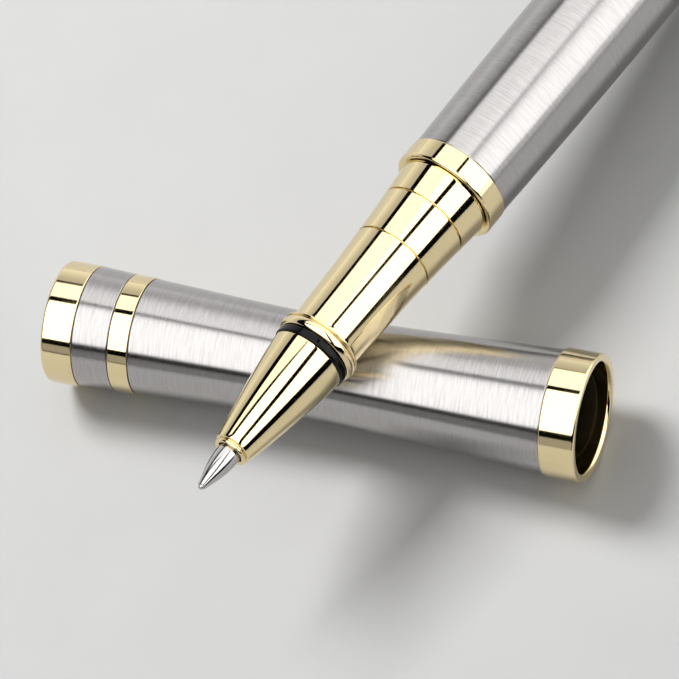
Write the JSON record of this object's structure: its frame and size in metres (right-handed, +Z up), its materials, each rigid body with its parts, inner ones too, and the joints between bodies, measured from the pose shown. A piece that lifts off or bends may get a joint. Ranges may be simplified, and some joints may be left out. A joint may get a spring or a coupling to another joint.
{
  "type": "rollerball pen",
  "caption": "Uncapped rollerball pen of brushed steel and pale gold, lying across its waisted cap, with its refill, threads and clip.",
  "frame": {"origin": "centre of the bounding box at the level the cap and the pen's tail rest on", "axes": "+X towards the pen's tail, -Y towards the cap's open lip, +Z up"},
  "size_m": [0.1222, 0.07, 0.0216],
  "materials": {
    "gold": "polished pale gold plating",
    "steel": "brushed round the axis",
    "polished_steel": "polished",
    "brass": "turned",
    "black_plastic": "moulded, satin",
    "black_gloss": "polished black",
    "refill_plastic": "moulded",
    "fibre": "ink-soaked fibre",
    "rubber": "moulded"
  },
  "bodies": {
    "cap": {"cap_top_plate": "polished_steel", "cap_end_band": "gold", "cap_upper_tube": "steel", "cap_mid_band": "gold", "cap_tube": "steel", "cap_lip_band": "gold", "cap_insert": "brass", "clip_washer": "polished_steel", "clip_screw": "polished_steel", "inner_cap": "black_plastic", "mouth_sleeve": "black_plastic"},
    "clip": {"clip": "gold"},
    "barrel": {"barrel_front_ring": "gold", "barrel_tube": "steel", "thread_insert": "brass", "tail_ring": "gold", "tail_finial": "steel", "spring_seat": "black_plastic"},
    "thread_carrier": {"nipple_seal": "rubber"},
    "section": {"nose_cone": "gold", "snap_ring": "black_gloss", "grip_section": "gold", "thread_nipple": "brass"},
    "refill": {"refill_point": "polished_steel", "refill_nose": "refill_plastic", "refill_tube": "polished_steel", "ink_reservoir": "fibre", "refill_plug": "black_plastic", "refill_spring": "polished_steel"},
    "ball": {"refill_ball": "polished_steel"}
  },
  "joints": [
    {"name": "pen_lift", "type": "slide", "parent": "cap", "child": "barrel", "axis": [0, 0, 1], "range_m": [0, 0.06]},
    {"name": "clip_flex", "type": "hinge", "parent": "cap", "child": "clip", "pos_m": [-0.0342, 0.02965, 0.00319], "axis": [0.5556, 0.0045, 0.8315], "range_deg": [0, 5], "stiffness_Nm_per_rad": 4.8},
    {"name": "section_travel", "type": "slide", "parent": "barrel", "child": "thread_carrier", "axis": [-0.9432, 0.3129, 0.1115], "range_m": [0, 0.006]},
    {"name": "section_turn", "type": "hinge", "parent": "thread_carrier", "child": "section", "pos_m": [-0.01975, -0.00393, 0.01446], "axis": [0.9432, -0.3129, -0.1115], "range_deg": [0, 2880]},
    {"name": "refill_float", "type": "slide", "parent": "thread_carrier", "child": "refill", "axis": [0.9432, -0.3129, -0.1115], "range_m": [0, 0.0008], "stiffness_N_per_m": 500, "springref_m": -0.003},
    {"name": "ball_roll", "type": "hinge", "parent": "refill", "child": "ball", "pos_m": [-0.06078, 0.00968, 0.01931], "axis": [-0.3149, -0.9491, 0], "continuous": true}
  ],
  "couplings": [
    {"joint": "section_travel", "follows": "section_turn", "m_per_rad": 0.00011937}
  ]
}
